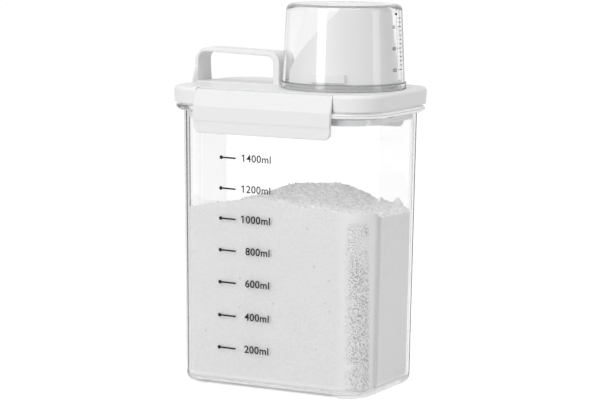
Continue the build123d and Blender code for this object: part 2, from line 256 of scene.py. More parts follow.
floor_mesh = bpy.data.meshes.new("floor")
floor_mesh.from_pydata([(-FLOOR_HALF, -FLOOR_HALF, 0), (FLOOR_HALF, -FLOOR_HALF, 0),
                        (FLOOR_HALF, FLOOR_HALF, 0), (-FLOOR_HALF, FLOOR_HALF, 0)], [], [(0, 1, 2, 3)])
floor = bpy.data.objects.new("floor", floor_mesh)
bpy.context.scene.collection.objects.link(floor)
print("floor", 2 * FLOOR_HALF, "m wide")

# %% [markdown]
# White paper also carries some light in under the box, where no lamp reaches. A patch of glow
# nearly as large as the footprint stands in for it. The camera doesn't see the patch, only the
# light that it sends up.

# %% Floor finish
FLOOR_GLOW = 0.76
FLOOR_LIT_SHARE = 0.5
BOUNCE_GREY = 0.8
CARRIED_LIGHT = 0.6
PATCH_HALF_LENGTH = 0.064
PATCH_HALF_WIDTH = 0.041


def seen_directly(tree):
    """1 for rays from the camera, from a reflection or through something clear, and 0 for the rest."""
    path = add_node(tree, "ShaderNodeLightPath").outputs
    either = calculated(tree, "MAXIMUM", path["Is Camera Ray"], path["Is Glossy Ray"])
    return calculated(tree, "MAXIMUM", either, path["Is Transmission Ray"])


def closer_than(tree, place, axis, half):
    """1 where a point is nearer to the middle than a half size."""
    away = calculated(tree, "ABSOLUTE", part_of(tree, place, axis))
    return calculated(tree, "LESS_THAN", away, half)


floor_finish, tree, shader = start_finish("floor_white")
tree.nodes.remove(shader)
place = place_of(tree)
under_box = product(tree, closer_than(tree, place, "X", PATCH_HALF_LENGTH),
                    closer_than(tree, place, "Y", PATCH_HALF_WIDTH))
carried = simple(tree, "Emission", Color=grey(1), Strength=product(tree, under_box, CARRIED_LIGHT))
plain = added(tree, simple(tree, "BsdfDiffuse", Color=grey(BOUNCE_GREY)), carried)
shown = added(tree, simple(tree, "BsdfDiffuse", Color=grey(FLOOR_LIT_SHARE)),
              simple(tree, "Emission", Color=grey(1), Strength=FLOOR_GLOW))
show(tree, mixed(tree, seen_directly(tree), plain, shown))
floor_mesh.materials.append(floor_finish)
print("floor glow", FLOOR_GLOW, "and lit share", FLOOR_LIT_SHARE)

# %% [markdown]
# ## Light
# The world fills the shadows. It is white to the eye, so that the backdrop stays white, and
# dimmer as a light, so that the object keeps its shades.

# %% World
ROOM_LIGHT = 0.52

world = bpy.data.worlds.new("room")
world.use_nodes = True
bpy.context.scene.world = world
tree = world.node_tree
background = tree.nodes["Background"]
background.inputs["Color"].default_value = grey(1)
strength = ramp(tree, seen_directly(tree), 0.0, 1.0, ROOM_LIGHT, 1.0, "LINEAR")
tree.links.new(strength, background.inputs["Strength"])
print("room light", ROOM_LIGHT)

# %% [markdown]
# A tall softbox stands at the front left. Its reflection is the bright upright streak on the
# cup, so its place and width follow from that streak. A slim one on the right gives the faint
# second streak, and a wide one overhead opens up the lid.

# %% Softboxes
LAMPS_AIM = (0, 0, 0.13)


def softbox(name, turn, rise, distance, width, height, power):
    """A rectangular lamp that faces the box, placed by its angle from the front and its rise."""
    lamp = bpy.data.objects.new(name, bpy.data.lights.new(name, "AREA"))
    lamp.data.shape = "RECTANGLE"
    lamp.data.size = width
    lamp.data.size_y = height
    lamp.data.energy = power
    turn, rise = math.radians(turn), math.radians(rise)
    out = Vector((math.sin(turn) * math.cos(rise), -math.cos(turn) * math.cos(rise), math.sin(rise)))
    lamp.matrix_world = (Matrix.Translation(Vector(LAMPS_AIM) + out * distance)
                         @ out.to_track_quat("Z", "Y").to_matrix().to_4x4())
    lamp.visible_camera = False
    bpy.context.scene.collection.objects.link(lamp)
    print(name, "at", [round(v, 2) for v in lamp.location])


softbox("key_softbox", turn=-16, rise=24, distance=1.3, width=0.42, height=1.3, power=5.9)
softbox("side_strip", turn=92, rise=10, distance=1.3, width=0.36, height=1.2, power=1.7)
softbox("top_softbox", turn=28, rise=71, distance=1.5, width=1.1, height=0.9, power=6.5)

# %% [markdown]
# ## Clear plastic
# The box and the cup are moulded in clear plastic. Their walls are modelled with both faces, so
# a refracting shader bends the view as the real walls do and draws the fine lines in the rim.
# Seen nearly edge on, such a wall looks grey, because it then shows the dark studio beside the
# object. A Layer Weight node paints that grey into the colour as a painted reflection, and a
# share of dark veil paints the thin line at the very edge in the same way. On the handle side,
# the line lies a little inside the edge and walls that slant away get a greyer painted
# reflection, so that side has numbers of its own.

# %% Lines in clear plastic
SLANTED = (0.4, 0.5)
NEARLY_EDGE_ON = (0.57, 0.68)
EDGE_ON = (0.72, 0.86)


def upright(tree):
    """1 on walls that stand upright, 0 on faces that look up or down."""
    normal = add_node(tree, "ShaderNodeTexCoord").outputs["Normal"]
    return fall(tree, calculated(tree, "ABSOLUTE", part_of(tree, normal, "Z")), 0.25, 0.7)


def thin_line(tree, facing):
    """A faint line at the very edge."""
    return ramp(tree, facing, *EDGE_ON, 0.0, 0.12)


def inner_line(tree, facing):
    """A dark line a little inside the edge, which stays faintly on up to the edge."""
    return product(tree, ramp(tree, facing, 0.56, 0.62), ramp(tree, facing, 0.66, 0.71, 0.88, 0.15))


print("two kinds of edge line: thin_line, inner_line")

# %% [markdown]
# Light from the lamps passes straight through the plastic, by a Transparent shader for shadow
# and bounce rays, so that the powder inside is well lit. A slow noise varies the gloss, as
# wiping does, and a slower one bends the walls by a hair, as moulding does.

# %% Clear plastic finish
PLASTIC_IOR = 1.5
SIDE_FADE = 10 * MM
LINE_VEIL = 0.2
FREE_LIGHT = 0.97


def clear_finish(name, tint, slant_greys, band_grey, line_share, left_line, left_until, roughness):
    """Clear plastic. Returns the material, its tree, its shader and the mix before the output."""
    material, tree, shader = start_finish(name)
    place = place_of(tree)
    facing = add_node(tree, "ShaderNodeLayerWeight", Blend=0.5).outputs["Facing"]
    wall = upright(tree)
    handle_side = fall(tree, part_of(tree, place, "X"), left_until - SIDE_FADE, left_until)
    # Painted reflection: the colour turns grey where the wall slants away or is seen nearly edge on.
    slant = product(tree, ramp(tree, facing, *SLANTED), wall)
    slant_colour = blended(tree, handle_side, grey(slant_greys[1]), grey(slant_greys[0]))
    colour = blended(tree, slant, grey(tint), slant_colour)
    edge_band = product(tree, ramp(tree, facing, *NEARLY_EDGE_ON), wall)
    tree.links.new(blended(tree, edge_band, colour, grey(band_grey)), shader.inputs["Base Color"])
    shader.inputs["Transmission Weight"].default_value = 1.0
    shader.inputs["IOR"].default_value = PLASTIC_IOR
    wiped = ramp(tree, mottle(tree, place, 70.0), 0.3, 0.7, roughness, roughness + 0.02)
    tree.links.new(wiped, shader.inputs["Roughness"])
    roughen(tree, shader, mottle(tree, place, 28.0, 1.0), 0.25, 0.0004)
    # Painted reflection: a dark veil draws the thin line at the very edge.
    line = product(tree, ramp(tree, facing, *EDGE_ON), line_share, rest_of(tree, handle_side))
    line = calculated(tree, "ADD", line, product(tree, left_line(tree, facing), handle_side))
    veil = simple(tree, "BsdfTransparent", Color=grey(LINE_VEIL))
    lined = mixed(tree, product(tree, line, wall), shader.outputs[0], veil)
    path = add_node(tree, "ShaderNodeLightPath").outputs
    straight = calculated(tree, "MAXIMUM", path["Is Shadow Ray"], path["Is Diffuse Ray"])
    last = mixed(tree, straight, lined, simple(tree, "BsdfTransparent", Color=grey(FREE_LIGHT)))
    show(tree, last)
    return material, tree, shader, last.node


def dress(node, material):
    """Gives a CAD piece its finish."""
    for holder in nodes[node].material_slots:
        holder.material = material
    print(node, "wears", material.name)


cup_finish, cup_tree, cup_shader, cup_mix = clear_finish(
    "clear_cup_plastic", tint=0.955, slant_greys=(0.955, 0.955), band_grey=0.88, line_share=0.42,
    left_line=thin_line, left_until=20 * MM, roughness=0.01)
box_finish, tree, shader, mix = clear_finish(
    "clear_box_plastic", tint=0.985, slant_greys=(0.7, 0.88), band_grey=0.72, line_share=0.9,
    left_line=inner_line, left_until=-50 * MM, roughness=0.012)
dress("container", box_finish)
dress("measuring_cup", cup_finish)

# %% [markdown]
# ## Edges of the cup
# The rounded edge at the cup's closed end traps light, and a render gives up before that light
# gets out again. So the edge lets a small part of the view straight through instead. The
# flange at the mouth gets painted shade for the dark that its refraction shows: a dark line
# along its lower edge, a grey ring above that and a grey line along its upper edge. Each is
# laid over what the finish already has, by two more helpers.

# %% Edges of the cup
CUP_CLOSED_END = (235.6 * MM, 236.8 * MM)
CLOSED_END_SHARE = 0.1
FLANGE_SHADE_RING = (189.7 * MM, 190.2 * MM)
FLANGE_UPPER_SHADE_LINE = (191.5 * MM, 191.9 * MM, 192.4 * MM, 192.7 * MM)
MOUTH_SHADE_LINE = (188.1 * MM, 188.7 * MM)


def recolour(tree, shader, factor, colour):
    """Lays a colour over the present one, as far as the factor goes."""
    socket = shader.inputs["Base Color"]
    tree.links.new(blended(tree, factor, socket.links[0].from_socket, colour), socket)


def overlay(tree, mix, factor, shader_output):
    """Lays a shader over what the mix shows to the eye, as far as the factor goes."""
    socket = mix.inputs[1]
    tree.links.new(mixed(tree, factor, socket.links[0].from_socket, shader_output), socket)


height = part_of(cup_tree, place_of(cup_tree), "Z")
overlay(cup_tree, cup_mix, ramp(cup_tree, height, *CUP_CLOSED_END, 0.0, CLOSED_END_SHARE),
        simple(cup_tree, "BsdfTransparent", Color=grey(FREE_LIGHT)))
# Painted shade on the flange: a grey ring, a grey upper line and a dark line at the mouth.
recolour(cup_tree, cup_shader, fall(cup_tree, height, *FLANGE_SHADE_RING), grey(0.6))
recolour(cup_tree, cup_shader, stripe(cup_tree, height, *FLANGE_UPPER_SHADE_LINE), grey(0.55))
recolour(cup_tree, cup_shader, fall(cup_tree, height, *MOUTH_SHADE_LINE), grey(0.1))
print("cup finish has", len(cup_tree.nodes), "nodes")

# %% [markdown]
# ## Light in the rim
# The rim of the box is the thick end of a clear wall. Light that enters the wall runs along
# inside it and comes out at the rim, which therefore looks white, with a dark line under it
# where the chamfer turns away, painted here as shade. A few bounces can't carry that much light
# in a render, so the upper part of the rim gets painted light, chosen by its height: a share of
# white that scatters light and a faint glow. At the handle end the rim gets painted shade and
# stays clear and dark, and at the spout end a fine seam runs round it.

# %% Painted light in the rim
RIM_WHITE = 0.85
RIM_WHITE_AT_HANDLE = 0.15
PIPED_LIGHT = 0.16
CHALKY_SHARE = 0.75
HANDLE_END = (-54 * MM, -48 * MM)
SPOUT_END = (46 * MM, 54 * MM)
RIM_START = (173.4 * MM, 173.8 * MM)
RIM_SEAM = (174.7 * MM, 174.9 * MM, 175.1 * MM, 175.3 * MM)

place = place_of(tree)
along, depth, height = [part_of(tree, place, axis) for axis in "XYZ"]
# Painted light for the rim: scattering white with a faint glow, in place of light carried in the wall.
scattered = mixed(tree, CHALKY_SHARE, simple(tree, "BsdfTranslucent", Color=grey(0.97)),
                  simple(tree, "BsdfDiffuse", Color=grey(0.97)))
white = added(tree, scattered, simple(tree, "Emission", Color=grey(1), Strength=PIPED_LIGHT))
seam = product(tree, stripe(tree, height, *RIM_SEAM), ramp(tree, along, *SPOUT_END))
painted_rim_light_share = product(tree, ramp(tree, height, *RIM_START, 0.0, RIM_WHITE),
                      ramp(tree, along, *HANDLE_END, RIM_WHITE_AT_HANDLE, 1.0), rest_of(tree, seam))
print("white share in the rim", RIM_WHITE)

# %% [markdown]
# The foot traps light as the cup's edge does, so it also lets part of the view through, and its
# colour is painted greyer. Along the bottom of the long walls runs a thin line of painted shade,
# where the outer fillet turns under.

# %% Foot of the box
FOOT_EDGE = (4.5 * MM, 7 * MM)
FOOT_OPEN_SHARE = 0.55
FOOT_SHADE_HEIGHT = (1.6 * MM, 2.1 * MM, 3.1 * MM, 3.6 * MM)
FOOT_SHADE_DEPTH = (40.7 * MM, 41.0 * MM)
FOOT_SHADE_END = (44 * MM, 52 * MM)

low_edge = fall(tree, height, *FOOT_EDGE)
foot_shade_line = product(tree, stripe(tree, height, *FOOT_SHADE_HEIGHT),
                    ramp(tree, calculated(tree, "ABSOLUTE", depth), *FOOT_SHADE_DEPTH),
                    fall(tree, along, *FOOT_SHADE_END))
# Painted shade: the view through the foot goes darker along the foot's line.
foot_veil = simple(tree, "BsdfTransparent", Color=blended(tree, foot_shade_line, grey(0.86), grey(0.5)))
overlay(tree, mix, product(tree, low_edge, FOOT_OPEN_SHARE), foot_veil)
# Painted shade: the foot's colour is greyer, and darker still along its line.
recolour(tree, shader, low_edge, grey(0.74))
recolour(tree, shader, foot_shade_line, grey(0.25))
print("foot line from", FOOT_SHADE_HEIGHT[0] / MM, "to", FOOT_SHADE_HEIGHT[3] / MM, "mm")

# %% [markdown]
# Now the rim goes on top of the foot's layers: first its painted light, then the painted shade at
# the handle end, and last the chamfer's line of painted shade and the seam.

# %% Rim finish
HANDLE_END_SHADE_START = (172.3 * MM, 172.6 * MM)
CHAMFER_SHADE_LINE = (172.2 * MM, 172.5 * MM, 173.2 * MM, 173.5 * MM)

overlay(tree, mix, painted_rim_light_share, white)
# Painted shade on the rim at the handle end.
painted_shade_at_handle_end = product(tree, ramp(tree, height, *HANDLE_END_SHADE_START), fall(tree, along, *HANDLE_END))
recolour(tree, shader, painted_shade_at_handle_end, grey(0.5))
# Painted shade along the chamfer, together with the seam's line.
lines = calculated(tree, "MAXIMUM", stripe(tree, height, *CHAMFER_SHADE_LINE), seam)
recolour(tree, shader, lines, grey(0.4))
print("box finish has", len(tree.nodes), "nodes")

# %% [markdown]
# ## White moulded plastic
# Lid, latches and spout are white plastic from a mould with a fine eroded texture. Such a
# surface is satin: it has a broad soft sheen and no sharp reflection. A fine noise as bump
# gives the grain of the mould, and a slow one varies the gloss a little, as handling does.

# %% White plastic finish
MOULD_GRAIN = 2400.0
MOULD_GRAIN_HEIGHT = 0.000012


def moulded_finish(name, channels, roughness):
    """Satin white plastic."""
    material, tree, shader = start_finish(name)
    place = place_of(tree)
    slow = mottle(tree, place, 45.0, 4.0)
    colour = blended(tree, slow, colour_of(channels, 0.985), colour_of(channels))
    tree.links.new(colour, shader.inputs["Base Color"])
    gloss = ramp(tree, slow, 0.0, 1.0, roughness - 0.05, roughness + 0.05, "LINEAR")
    tree.links.new(gloss, shader.inputs["Roughness"])
    roughen(tree, shader, mottle(tree, place, MOULD_GRAIN, 2.0), 0.5, MOULD_GRAIN_HEIGHT)
    return material


dress("lid", moulded_finish("lid_white_plastic", (0.84, 0.84, 0.845), 0.42))
latch_finish = moulded_finish("latch_white_plastic", (0.81, 0.81, 0.815), 0.45)
dress("front_latch", latch_finish)
dress("back_latch", latch_finish)
dress("pour_spout", moulded_finish("spout_white_plastic", (0.85, 0.85, 0.855), 0.38))

# %% [markdown]
# ## Silicone rings
# The lid seals on a milky silicone sleeve, and a grey ring sits at the foot of the spout.
# Silicone is softer and less shiny than plastic, and light goes a little way into it, which
# the subsurface setting of the shader gives.

# %% Silicone finish
LIGHT_REACH = 0.003


def silicone_finish(name, channels, roughness, glow):
    """Soft silicone, into which light goes a little way."""
    material, tree, shader = start_finish(name)
    cloud = mottle(tree, place_of(tree), 220.0)
    colour = blended(tree, cloud, colour_of(channels, 0.94), colour_of(channels))
    tree.links.new(colour, shader.inputs["Base Color"])
    shader.inputs["Roughness"].default_value = roughness
    shader.inputs["Subsurface Weight"].default_value = glow
    shader.inputs["Subsurface Radius"].default_value = (LIGHT_REACH, LIGHT_REACH, LIGHT_REACH)
    roughen(tree, shader, cloud, 0.4, 0.00002)
    return material


dress("lid_gasket", silicone_finish("gasket_silicone", (0.86, 0.87, 0.88), 0.4, 0.7))
dress("neck_seal", silicone_finish("seal_silicone", (0.44, 0.45, 0.46), 0.45, 0.1))

# %% [markdown]
# ## Washing powder
# The powder fills the box to about two thirds. It lies against the walls, and its top is a
# loose heap. It is modelled as one closed skin: rings that follow the inside of the box go up
# the walls, and shrinking rings close the top. The first thing to know is therefore the inside
# of the box, a rounded rectangle that widens upwards by the draft of the mould.

# %% The inside of the box
INNER_HALF_LENGTH = 63.5 * MM
INNER_HALF_WIDTH = 40.5 * MM
INNER_CORNER = 18.0 * MM
WALL_SLOPE = math.tan(math.radians(0.75))
FLOOR_TOP = 3.2 * MM
FLOOR_FILLET = 3.5 * MM
POWDER_GAP = 0.2 * MM


def wall_ring(height, inset, straight=96, side=54, corner=22):
    """Points round the inside of the box at a height, pulled in by an inset."""
    widen = height * WALL_SLOPE - inset
    half_x, half_y = INNER_HALF_LENGTH + widen, INNER_HALF_WIDTH + widen
    radius = INNER_CORNER + widen
    points = []
    for turn, count in ((0, straight), (1, side), (2, straight), (3, side)):
        along = half_x - radius if turn % 2 == 0 else half_y - radius
        reach = half_y if turn % 2 == 0 else half_x
        rotation = Matrix.Rotation(math.radians(90 * turn), 2)
        for i in range(count):
            points.append(rotation @ Vector((-along + 2 * along * i / count, -reach)))
        for i in range(corner):
            angle = math.radians(-90 + 90 * i / corner)
            points.append(rotation @ Vector((along + radius * math.cos(angle),
                                             -reach + radius + radius * math.sin(angle))))
    return points


STRAIGHT_TOP = 200 * MM
low_ring = wall_ring(0.0, POWDER_GAP)
high_ring = wall_ring(STRAIGHT_TOP, POWDER_GAP)
print("powder ring", len(low_ring), "points")

# %% [markdown]
# The heap's height is a smooth surface through a few poles of known height, which is easier to
# steer than sculpting. The poles are places on the heap, in millimetres: first along the walls,
# where the powder's edge shows, then over the crest. Solving for the blend between them once
# takes a small set of equations. Small heaps and hollows are added with their place, height
# and width, and noise on top gives the lumps and crumbs of poured powder.

# %% Height of the heap
HEAP_POLES = (
    (-63, -39, 111.0), (-50, -39, 113.2), (-25, -39, 117.5), (-6, -39, 121.6), (8, -39, 120.3),
    (23, -39, 117.8), (38, -39, 117.2), (53, -39, 115.4), (63, -30, 113.6), (65, -10, 110.8),
    (65, 5, 110.2), (65, 27, 109.4), (58, 39, 108.8), (-20, 0, 117.0), (-8, 0, 124.4),
    (6, 0, 126.0), (18, 0, 127.0), (29, 0, 126.6), (39, 0, 123.6), (50, 0, 118.4),
    (-60, 39, 104.0), (-30, 39, 107.5), (0, 39, 114.0), (30, 39, 115.0), (-65, 0, 106.0),
    (-40, 0, 110.0), (-40, 20, 107.0), (10, -20, 122.5), (40, -18, 119.0), (15, 22, 121.5))
SMALL_HEAPS = ((47.5, 17, -1.2, 4.0), (59.2, 18.0, 6.6, 3.4), (46, 30, -1.6, 6.0), (30, -30, 1.0, 6.0))
LUMP_HEIGHT = 0.7
CRUMB_HEIGHT = 0.8

poles = np.array(HEAP_POLES)


def spread(distance):
    """The thin-plate shape of a bent sheet round one pole."""
    return distance**2 * np.log(np.maximum(distance, 1e-6))


gaps = np.hypot(poles[:, None, 0] - poles[None, :, 0], poles[:, None, 1] - poles[None, :, 1])
flat = np.column_stack([np.ones(len(poles)), poles[:, :2]])
equations = np.block([[spread(gaps), flat], [flat.T, np.zeros((3, 3))]])
weights = np.linalg.solve(equations, np.concatenate([poles[:, 2], np.zeros(3)]))


def heap_height(x, y):
    """Height of the powder at a place, in metres."""
    px, py = x / MM, y / MM
    distance = np.hypot(poles[:, 0] - px, poles[:, 1] - py)
    height = spread(distance) @ weights[:-3] + weights[-3:] @ (1, px, py)
    for cx, cy, tall, wide in SMALL_HEAPS:
        height += tall * math.exp(-((px - cx)**2 + (py - cy)**2) / wide**2)
    lumps = noise.fractal((px * 0.09, py * 0.09, 3.0), 1.0, 2.0, 3)
    crumbs = noise.fractal((px * 0.55, py * 0.55, 9.0), 0.8, 2.0, 3)
    return (height + LUMP_HEIGHT * lumps + CRUMB_HEIGHT * crumbs) * MM


print("heap at its crest", round(heap_height(0.018, 0.0) / MM, 1), "mm")

# %% [markdown]
# The skin starts with rings round the fillet of the floor. More rings go up the straight wall
# to the powder's edge, each a part of the way between the lowest and the highest ring. From
# that edge, rings that shrink to one point cover the heap.

# %% Skin of the powder
FILLET_RINGS = 6
WALL_RINGS = 58
TOP_RINGS = 62
POWDER_EDGE = 115 * MM


def skin_points():
    """Rings of points, from the floor up the walls and over the heap to its middle."""
    points = []
    for step in range(FILLET_RINGS + 1):
        angle = math.radians(90 * step / FILLET_RINGS)
        inset = FLOOR_FILLET * (1 - math.sin(angle)) + POWDER_GAP
        height = FLOOR_TOP + POWDER_GAP + FLOOR_FILLET * (1 - math.cos(angle))
        points += [(p.x, p.y, height) for p in wall_ring(height, inset)]
    start = FLOOR_TOP + POWDER_GAP + FLOOR_FILLET
    edge = [heap_height(p.x, p.y) for p in wall_ring(POWDER_EDGE, POWDER_GAP)]
    for step in range(1, WALL_RINGS + 1):
        share = step / WALL_RINGS
        for low, high, top in zip(low_ring, high_ring, edge):
            height = start + (top - start) * share
            p = low.lerp(high, height / STRAIGHT_TOP)
            points.append((p.x, p.y, height))
    rim = points[-len(edge):]
    for step in range(1, TOP_RINGS):
        share = 1 - step / TOP_RINGS
        for x, y, _ in rim:
            points.append((x * share, y * share, heap_height(x * share, y * share)))
    points.append((0, 0, heap_height(0, 0)))
    return points


def skin_faces(point_count, ring_size):
    """A floor, a quad between each two neighbours of two rings, and a fan round the last point."""
    last_point = point_count - 1
    rings = last_point // ring_size
    faces = [tuple(reversed(range(ring_size)))]
    for r in range(rings - 1):
        low, high = r * ring_size, (r + 1) * ring_size
        for i in range(ring_size):
            j = (i + 1) % ring_size
            faces.append((low + i, low + j, high + j, high + i))
    last = (rings - 1) * ring_size
    faces += [(last + i, last + (i + 1) % ring_size, last_point) for i in range(ring_size)]
    return faces


powder_points = skin_points()
powder_faces = skin_faces(len(powder_points), len(low_ring))
print("skin of", len(powder_points), "points")

# %% [markdown]
# ## The look of powder
# Powder is matt and pale, with a fine mottle. Two noises give it, one as fine as grains and one
# as broad as clouds. Powder that faces up is whiter, with grey clumps: partly loose powder and
# partly painted light from above. Pressed on the clear wall it is greyer and even, lighter just
# above the floor, with a painted highlight where the wall bends at the front right corner and an
# upright shade right behind that bend.

# %% Mottle of the powder
LOOSE_TILT = (0.3, 0.7)
ABOVE_FLOOR = (6.5 * MM, 9 * MM)
BEND_HIGHLIGHT_ACROSS = (46 * MM, 55 * MM)
BEND_HIGHLIGHT_DEPTH = (-25 * MM, -21 * MM)
SHADE_ACROSS = (60 * MM, 62 * MM)
SHADE_DEPTH = (-26.5 * MM, -20.5 * MM, -19.5 * MM, -16.5 * MM)

powder_finish, tree, shader = start_finish("washing_powder")
place = place_of(tree)
across, depth, height = [part_of(tree, place, axis) for axis in "XYZ"]
facing_up = part_of(tree, add_node(tree, "ShaderNodeTexCoord").outputs["Normal"], "Z")
loose = ramp(tree, facing_up, *LOOSE_TILT)
fine = mottle(tree, place, 750.0, Roughness=0.7)
cloudy = calculated(tree, "ADD", product(tree, ramp(tree, fine, 0.3, 0.7), 0.6),
                    product(tree, mottle(tree, place, 42.0), 0.4))
pressed_tone = blended(tree, cloudy, colour_of((0.72, 0.72, 0.725)), colour_of((0.85, 0.85, 0.855)))
# Partly painted light: faces that look up get this lighter tone, partly loose powder.
loose_top_lit_tone = blended(tree, ramp(tree, fine, 0.36, 0.52),
                     colour_of((0.86, 0.86, 0.865)), colour_of((0.99, 0.99, 0.995)))
clumps = ramp(tree, mottle(tree, place, 330.0), 0.48, 0.64, 0.0, 0.4)
loose_top_lit_tone = blended(tree, clumps, loose_top_lit_tone, grey(0.68))
tone = blended(tree, loose, pressed_tone, loose_top_lit_tone)
tone = blended(tree, fall(tree, height, *ABOVE_FLOOR), tone, grey(0.89))
# Painted highlight where the wall bends at the front right corner.
bend = product(tree, ramp(tree, across, *BEND_HIGHLIGHT_ACROSS), fall(tree, depth, *BEND_HIGHLIGHT_DEPTH), rest_of(tree, loose))
tone = blended(tree, bend, tone, grey(0.89))
corner_shade = product(tree, stripe(tree, depth, *SHADE_DEPTH), ramp(tree, across, *SHADE_ACROSS))
tone = blended(tree, corner_shade, tone, grey(0.57))
print("powder tone so far has", len(tree.nodes), "nodes")

# %% [markdown]
# Behind the bend, small pores between the grains get painted shade, with bright crumbs among them.
# Voronoi cells about as large as a grain give both: a pore lies where cells meet, and a crumb
# in the middle of a cell. A noise breaks them up into patches. A few stray dark specks are
# strewn over all of the powder.

# %% Pores behind the clear wall
PORE_CELLS = 1350.0
PORES_ACROSS = (50.5 * MM, 58 * MM, 62.4 * MM, 63.6 * MM)
PORES_DEPTH = (-28 * MM, -24 * MM)
PORES_HEIGHT = (103 * MM, 113 * MM)
STRAY_CELLS = 95.0


def cell_distance(tree, place, scale):
    """How far a point is from the middle of its Voronoi cell."""
    return add_node(tree, "ShaderNodeTexVoronoi", {"feature": "F1"}, Vector=place, Scale=scale,
                    Randomness=1.0).outputs["Distance"]


cells = cell_distance(tree, place, PORE_CELLS)
porous = product(tree, stripe(tree, across, *PORES_ACROSS), fall(tree, depth, *PORES_DEPTH),
                 fall(tree, height, *PORES_HEIGHT), ramp(tree, mottle(tree, place, 75.0, 4.0), 0.22, 0.46))
# Painted shade in the pores, where cells meet.
tone = blended(tree, product(tree, ramp(tree, cells, 0.48, 0.66), porous), tone, grey(0.4))
tone = blended(tree, product(tree, fall(tree, cells, 0.12, 0.3), porous), tone, grey(0.99))
strays = ramp(tree, cell_distance(tree, place, STRAY_CELLS), 0.05, 0.09, 0.45, 0.0)
tone = blended(tree, strays, tone, grey(0.4))
tree.links.new(tone, shader.inputs["Base Color"])
shader.inputs["Roughness"].default_value = 0.95
shader.inputs["Specular IOR Level"].default_value = 0.15
roughen(tree, shader, fine, ramp(tree, facing_up, *LOOSE_TILT, 0.25, 0.55), 0.0005)
print("powder finish has", len(tree.nodes), "nodes")

# %% [markdown]
# A piece made here needs two things: a mesh with its finish, and a body to ride on, so that it
# moves with the part that carries it. The powder's skin stands in for the plain solid of the
# CAD model.

# %% Place the powder
def mesh_of(name, points, faces):
    """A mesh from its points and faces."""
    mesh = bpy.data.meshes.new(name)
    mesh.from_pydata(points, [], faces)
    mesh.validate()
    return mesh


def add_piece(mesh, material, body):
    """A piece with the mesh's name that rides on a body, with its finish."""
    mesh.materials.append(material)
    piece = bpy.data.objects.new(mesh.name, mesh)
    bpy.context.scene.collection.objects.link(piece)
    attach(piece, body)
    print(piece.name, len(mesh.vertices), "points,", len(mesh.polygons), "faces")
    return piece


powder_mesh = mesh_of("washing_powder", powder_points, powder_faces)
powder = add_piece(powder_mesh, powder_finish, "container")
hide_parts("detergent_powder")

# %% [markdown]
# ## Loose grains
# A smooth heap gives itself away at its outline, where real powder is ragged. A few thousand
# grains are strewn over the heap, and some more along the wall, where powder has slid down and
# left specks. Each grain is a squashed eight-sided crystal with its own size and turn. All of
# them are one mesh, because they share a finish and never move apart.

# %% A grain
rng = np.random.default_rng(7)
crystal = np.array([(1, 0, 0), (-1, 0, 0), (0, 1, 0), (0, -1, 0), (0, 0, 1), (0, 0, -1)], float)
crystal_faces = [(0, 2, 4), (2, 1, 4), (1, 3, 4), (3, 0, 4), (2, 0, 5), (1, 2, 5), (3, 1, 5), (0, 3, 5)]
grain_points, grain_faces = [], []


def add_grain(x, y, z, size):
    """A crystal of a random shape and turn."""
    turn = np.array(Matrix.Rotation(rng.uniform(0, math.tau), 3, Vector(rng.normal(size=3)).normalized()))
    start = len(grain_points)
    shape = crystal * size * rng.uniform(0.6, 1.0, 3)
    grain_points.extend((shape @ turn.T + (x, y, z)).tolist())
    grain_faces.extend(tuple(start + i for i in face) for face in crystal_faces)


print("a grain has", len(crystal), "points")

# %% [markdown]
# Grains fall anywhere inside the walls, but thinner outside an oval round the crest, so some
# of the draws there are thrown away. Specks cling to the wall just above the powder's edge, and
# few of them lie high.

# %% Strew the grains
GRAIN_COUNT = 3400
SPECK_COUNT = 420
CREST_X = 15 * MM
CREST_HALF_LENGTH = 45 * MM
CREST_HALF_WIDTH = 40 * MM
THIN_SHARE = 0.45
CORNER_X = 45 * MM
CORNER_Y = 22 * MM
CORNER_REACH = 17.5 * MM
SPECK_INSET = 0.55 * MM

placed = 0
while placed < GRAIN_COUNT:
    x, y = rng.uniform(-62, 64) * MM, rng.uniform(-40, 40) * MM
    size = (0.3 + 0.55 * rng.random()**2) * MM
    past_corner = math.hypot(max(abs(x) - CORNER_X, 0), max(abs(y) - CORNER_Y, 0)) > CORNER_REACH
    on_crest = math.hypot((x - CREST_X) / CREST_HALF_LENGTH, y / CREST_HALF_WIDTH) < 1
    if past_corner or rng.random() > (1.0 if on_crest else THIN_SHARE):
        continue
    add_grain(x, y, heap_height(x, y) + size * 0.45, size)
    placed += 1
wall = wall_ring(POWDER_EDGE, SPECK_INSET)
for speck in range(SPECK_COUNT):
    spot = wall[int(rng.integers(len(wall)))]
    size = (0.12 + 0.16 * rng.random()) * MM
    add_grain(spot.x, spot.y, heap_height(spot.x, spot.y) + min(rng.exponential(1.3), 9) * MM, size)
add_piece(mesh_of("powder_grains", grain_points, grain_faces), powder_finish, "container")

# %% [markdown]
# ## Printed scale
# The box is printed with a dot, a line and a number every 200 ml. Real ink is a film a few
# hundredths of a millimetre thick. It is built here as thin raised shapes on the front wall,
# from flat shapes for the marks and Blender's own font for the figures, so it also shows in an
# exported mesh. The ink itself is nearly black and matt.

# %% Ink finish
ink_finish, tree, shader = start_finish("scale_ink")
uneven = blended(tree, mottle(tree, place_of(tree), 900.0, 2.0), grey(0.008), grey(0.018))
tree.links.new(uneven, shader.inputs["Base Color"])
shader.inputs["Roughness"].default_value = 0.6
shader.inputs["Specular IOR Level"].default_value = 0.2
print("ink finish has", len(tree.nodes), "nodes")

# %% [markdown]
# A printed shape is a list of flat points, across and up, and a list of faces. Figures come
# from a text curve, which is turned into a mesh and then removed. The font's 1 is a bare
# stroke, so a leading 1 gets its small flag as one more shape.

